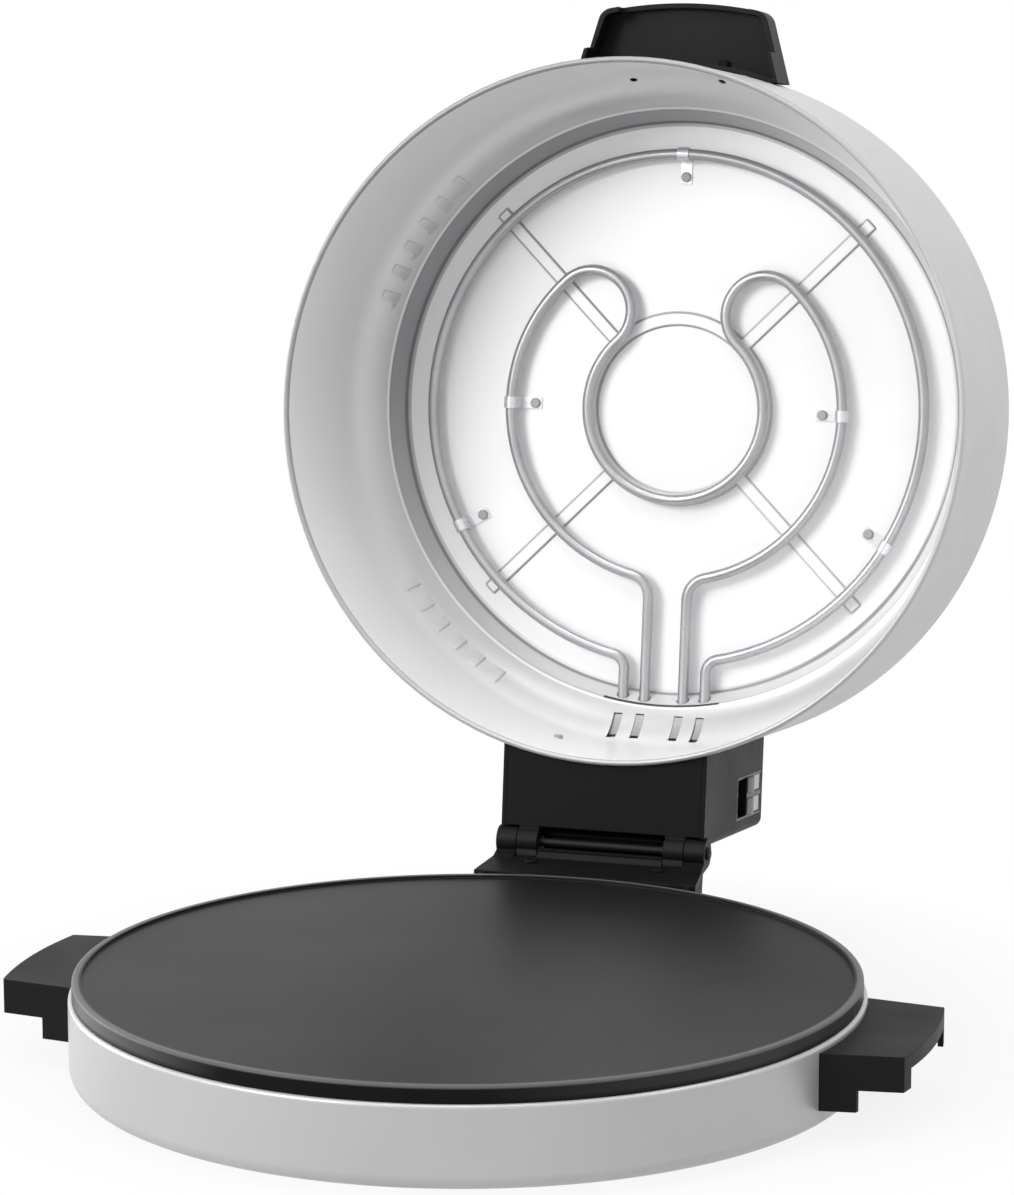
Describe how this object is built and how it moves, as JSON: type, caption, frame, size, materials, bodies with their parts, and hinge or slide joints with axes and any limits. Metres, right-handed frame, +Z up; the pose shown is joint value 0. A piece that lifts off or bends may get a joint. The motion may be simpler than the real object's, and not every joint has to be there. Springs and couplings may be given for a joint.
{
  "type": "electric pizza maker",
  "caption": "Round countertop cooker: heated plate on a band base, deep hinged lid with tubular heaters, black handles and rocker switches.",
  "frame": {"origin": "on the table, under the middle of the space that the part takes with its lid open", "axes": "+Z up, +X to the user's right, -Y towards the user, +Y towards the hinge"},
  "size_m": [0.5, 0.65, 0.5421],
  "materials": {
    "band_steel": "satin",
    "pan_steel": "satin",
    "nonstick_plate": "non-stick coating, semi-gloss",
    "screw_steel": "satin",
    "bright_sheet": "bright",
    "heater_tube": "satin grey",
    "thermostat_can": "satin",
    "black_plastic": "fine satin",
    "foot_rubber": "matt",
    "black_screw": "satin black",
    "pin_steel": "black oxide",
    "lid_aluminium": "satin silver",
    "bright_liner": "bright, slightly brushed",
    "ceramic_white": "unglazed white ceramic",
    "black_gloss": "gloss",
    "silver_plastic": "silver lacquer"
  },
  "bodies": {
    "base": {"base_band": "band_steel", "base_pan": "pan_steel", "cooking_plate": "nonstick_plate", "plate_screws": "screw_steel", "spacer_sleeves": "screw_steel", "heat_shield": "bright_sheet", "lower_element": "heater_tube", "element_clamps": "screw_steel", "plate_thermostat": "thermostat_can", "side_handle_left": "black_plastic", "side_handle_right": "black_plastic", "side_handle_screws": "screw_steel", "feet": "foot_rubber", "foot_screws": "screw_steel", "hinge_bracket": "black_plastic", "hinge_support": "pan_steel", "bracket_screws": "black_screw", "hinge_pin": "pin_steel"},
    "lid": {"lid_shell": "lid_aluminium", "lid_liner": "bright_liner", "element_outer": "heater_tube", "element_inner": "heater_tube", "element_clips": "bright_sheet", "clip_screws": "screw_steel", "element_bushes": "black_plastic", "lid_handle": "black_plastic", "lid_handle_screws": "black_screw", "hinge_housing": "black_plastic", "housing_base": "black_plastic", "housing_screws": "screw_steel", "switch_frame": "black_gloss", "switch_body": "black_plastic", "lid_thermostat": "thermostat_can", "terminal_block": "ceramic_white", "cord_gland": "black_plastic"},
    "rocker_upper": {"rocker_upper": "silver_plastic"},
    "rocker_lower": {"rocker_lower": "silver_plastic"}
  },
  "joints": [
    {"name": "lid_hinge", "type": "hinge", "parent": "base", "child": "lid", "pos_m": [0, 0.13601, 0.0669], "axis": [1, 0, 0], "range_deg": [0, 97]},
    {"name": "rocker_upper_tilt", "type": "hinge", "parent": "lid", "child": "rocker_upper", "pos_m": [0.058, 0.248, 0.08373], "axis": [0, -0.1219, -0.9925], "range_deg": [0, 16]},
    {"name": "rocker_lower_tilt", "type": "hinge", "parent": "lid", "child": "rocker_lower", "pos_m": [0.058, 0.24645, 0.07112], "axis": [0, -0.1219, -0.9925], "range_deg": [0, 16]}
  ]
}
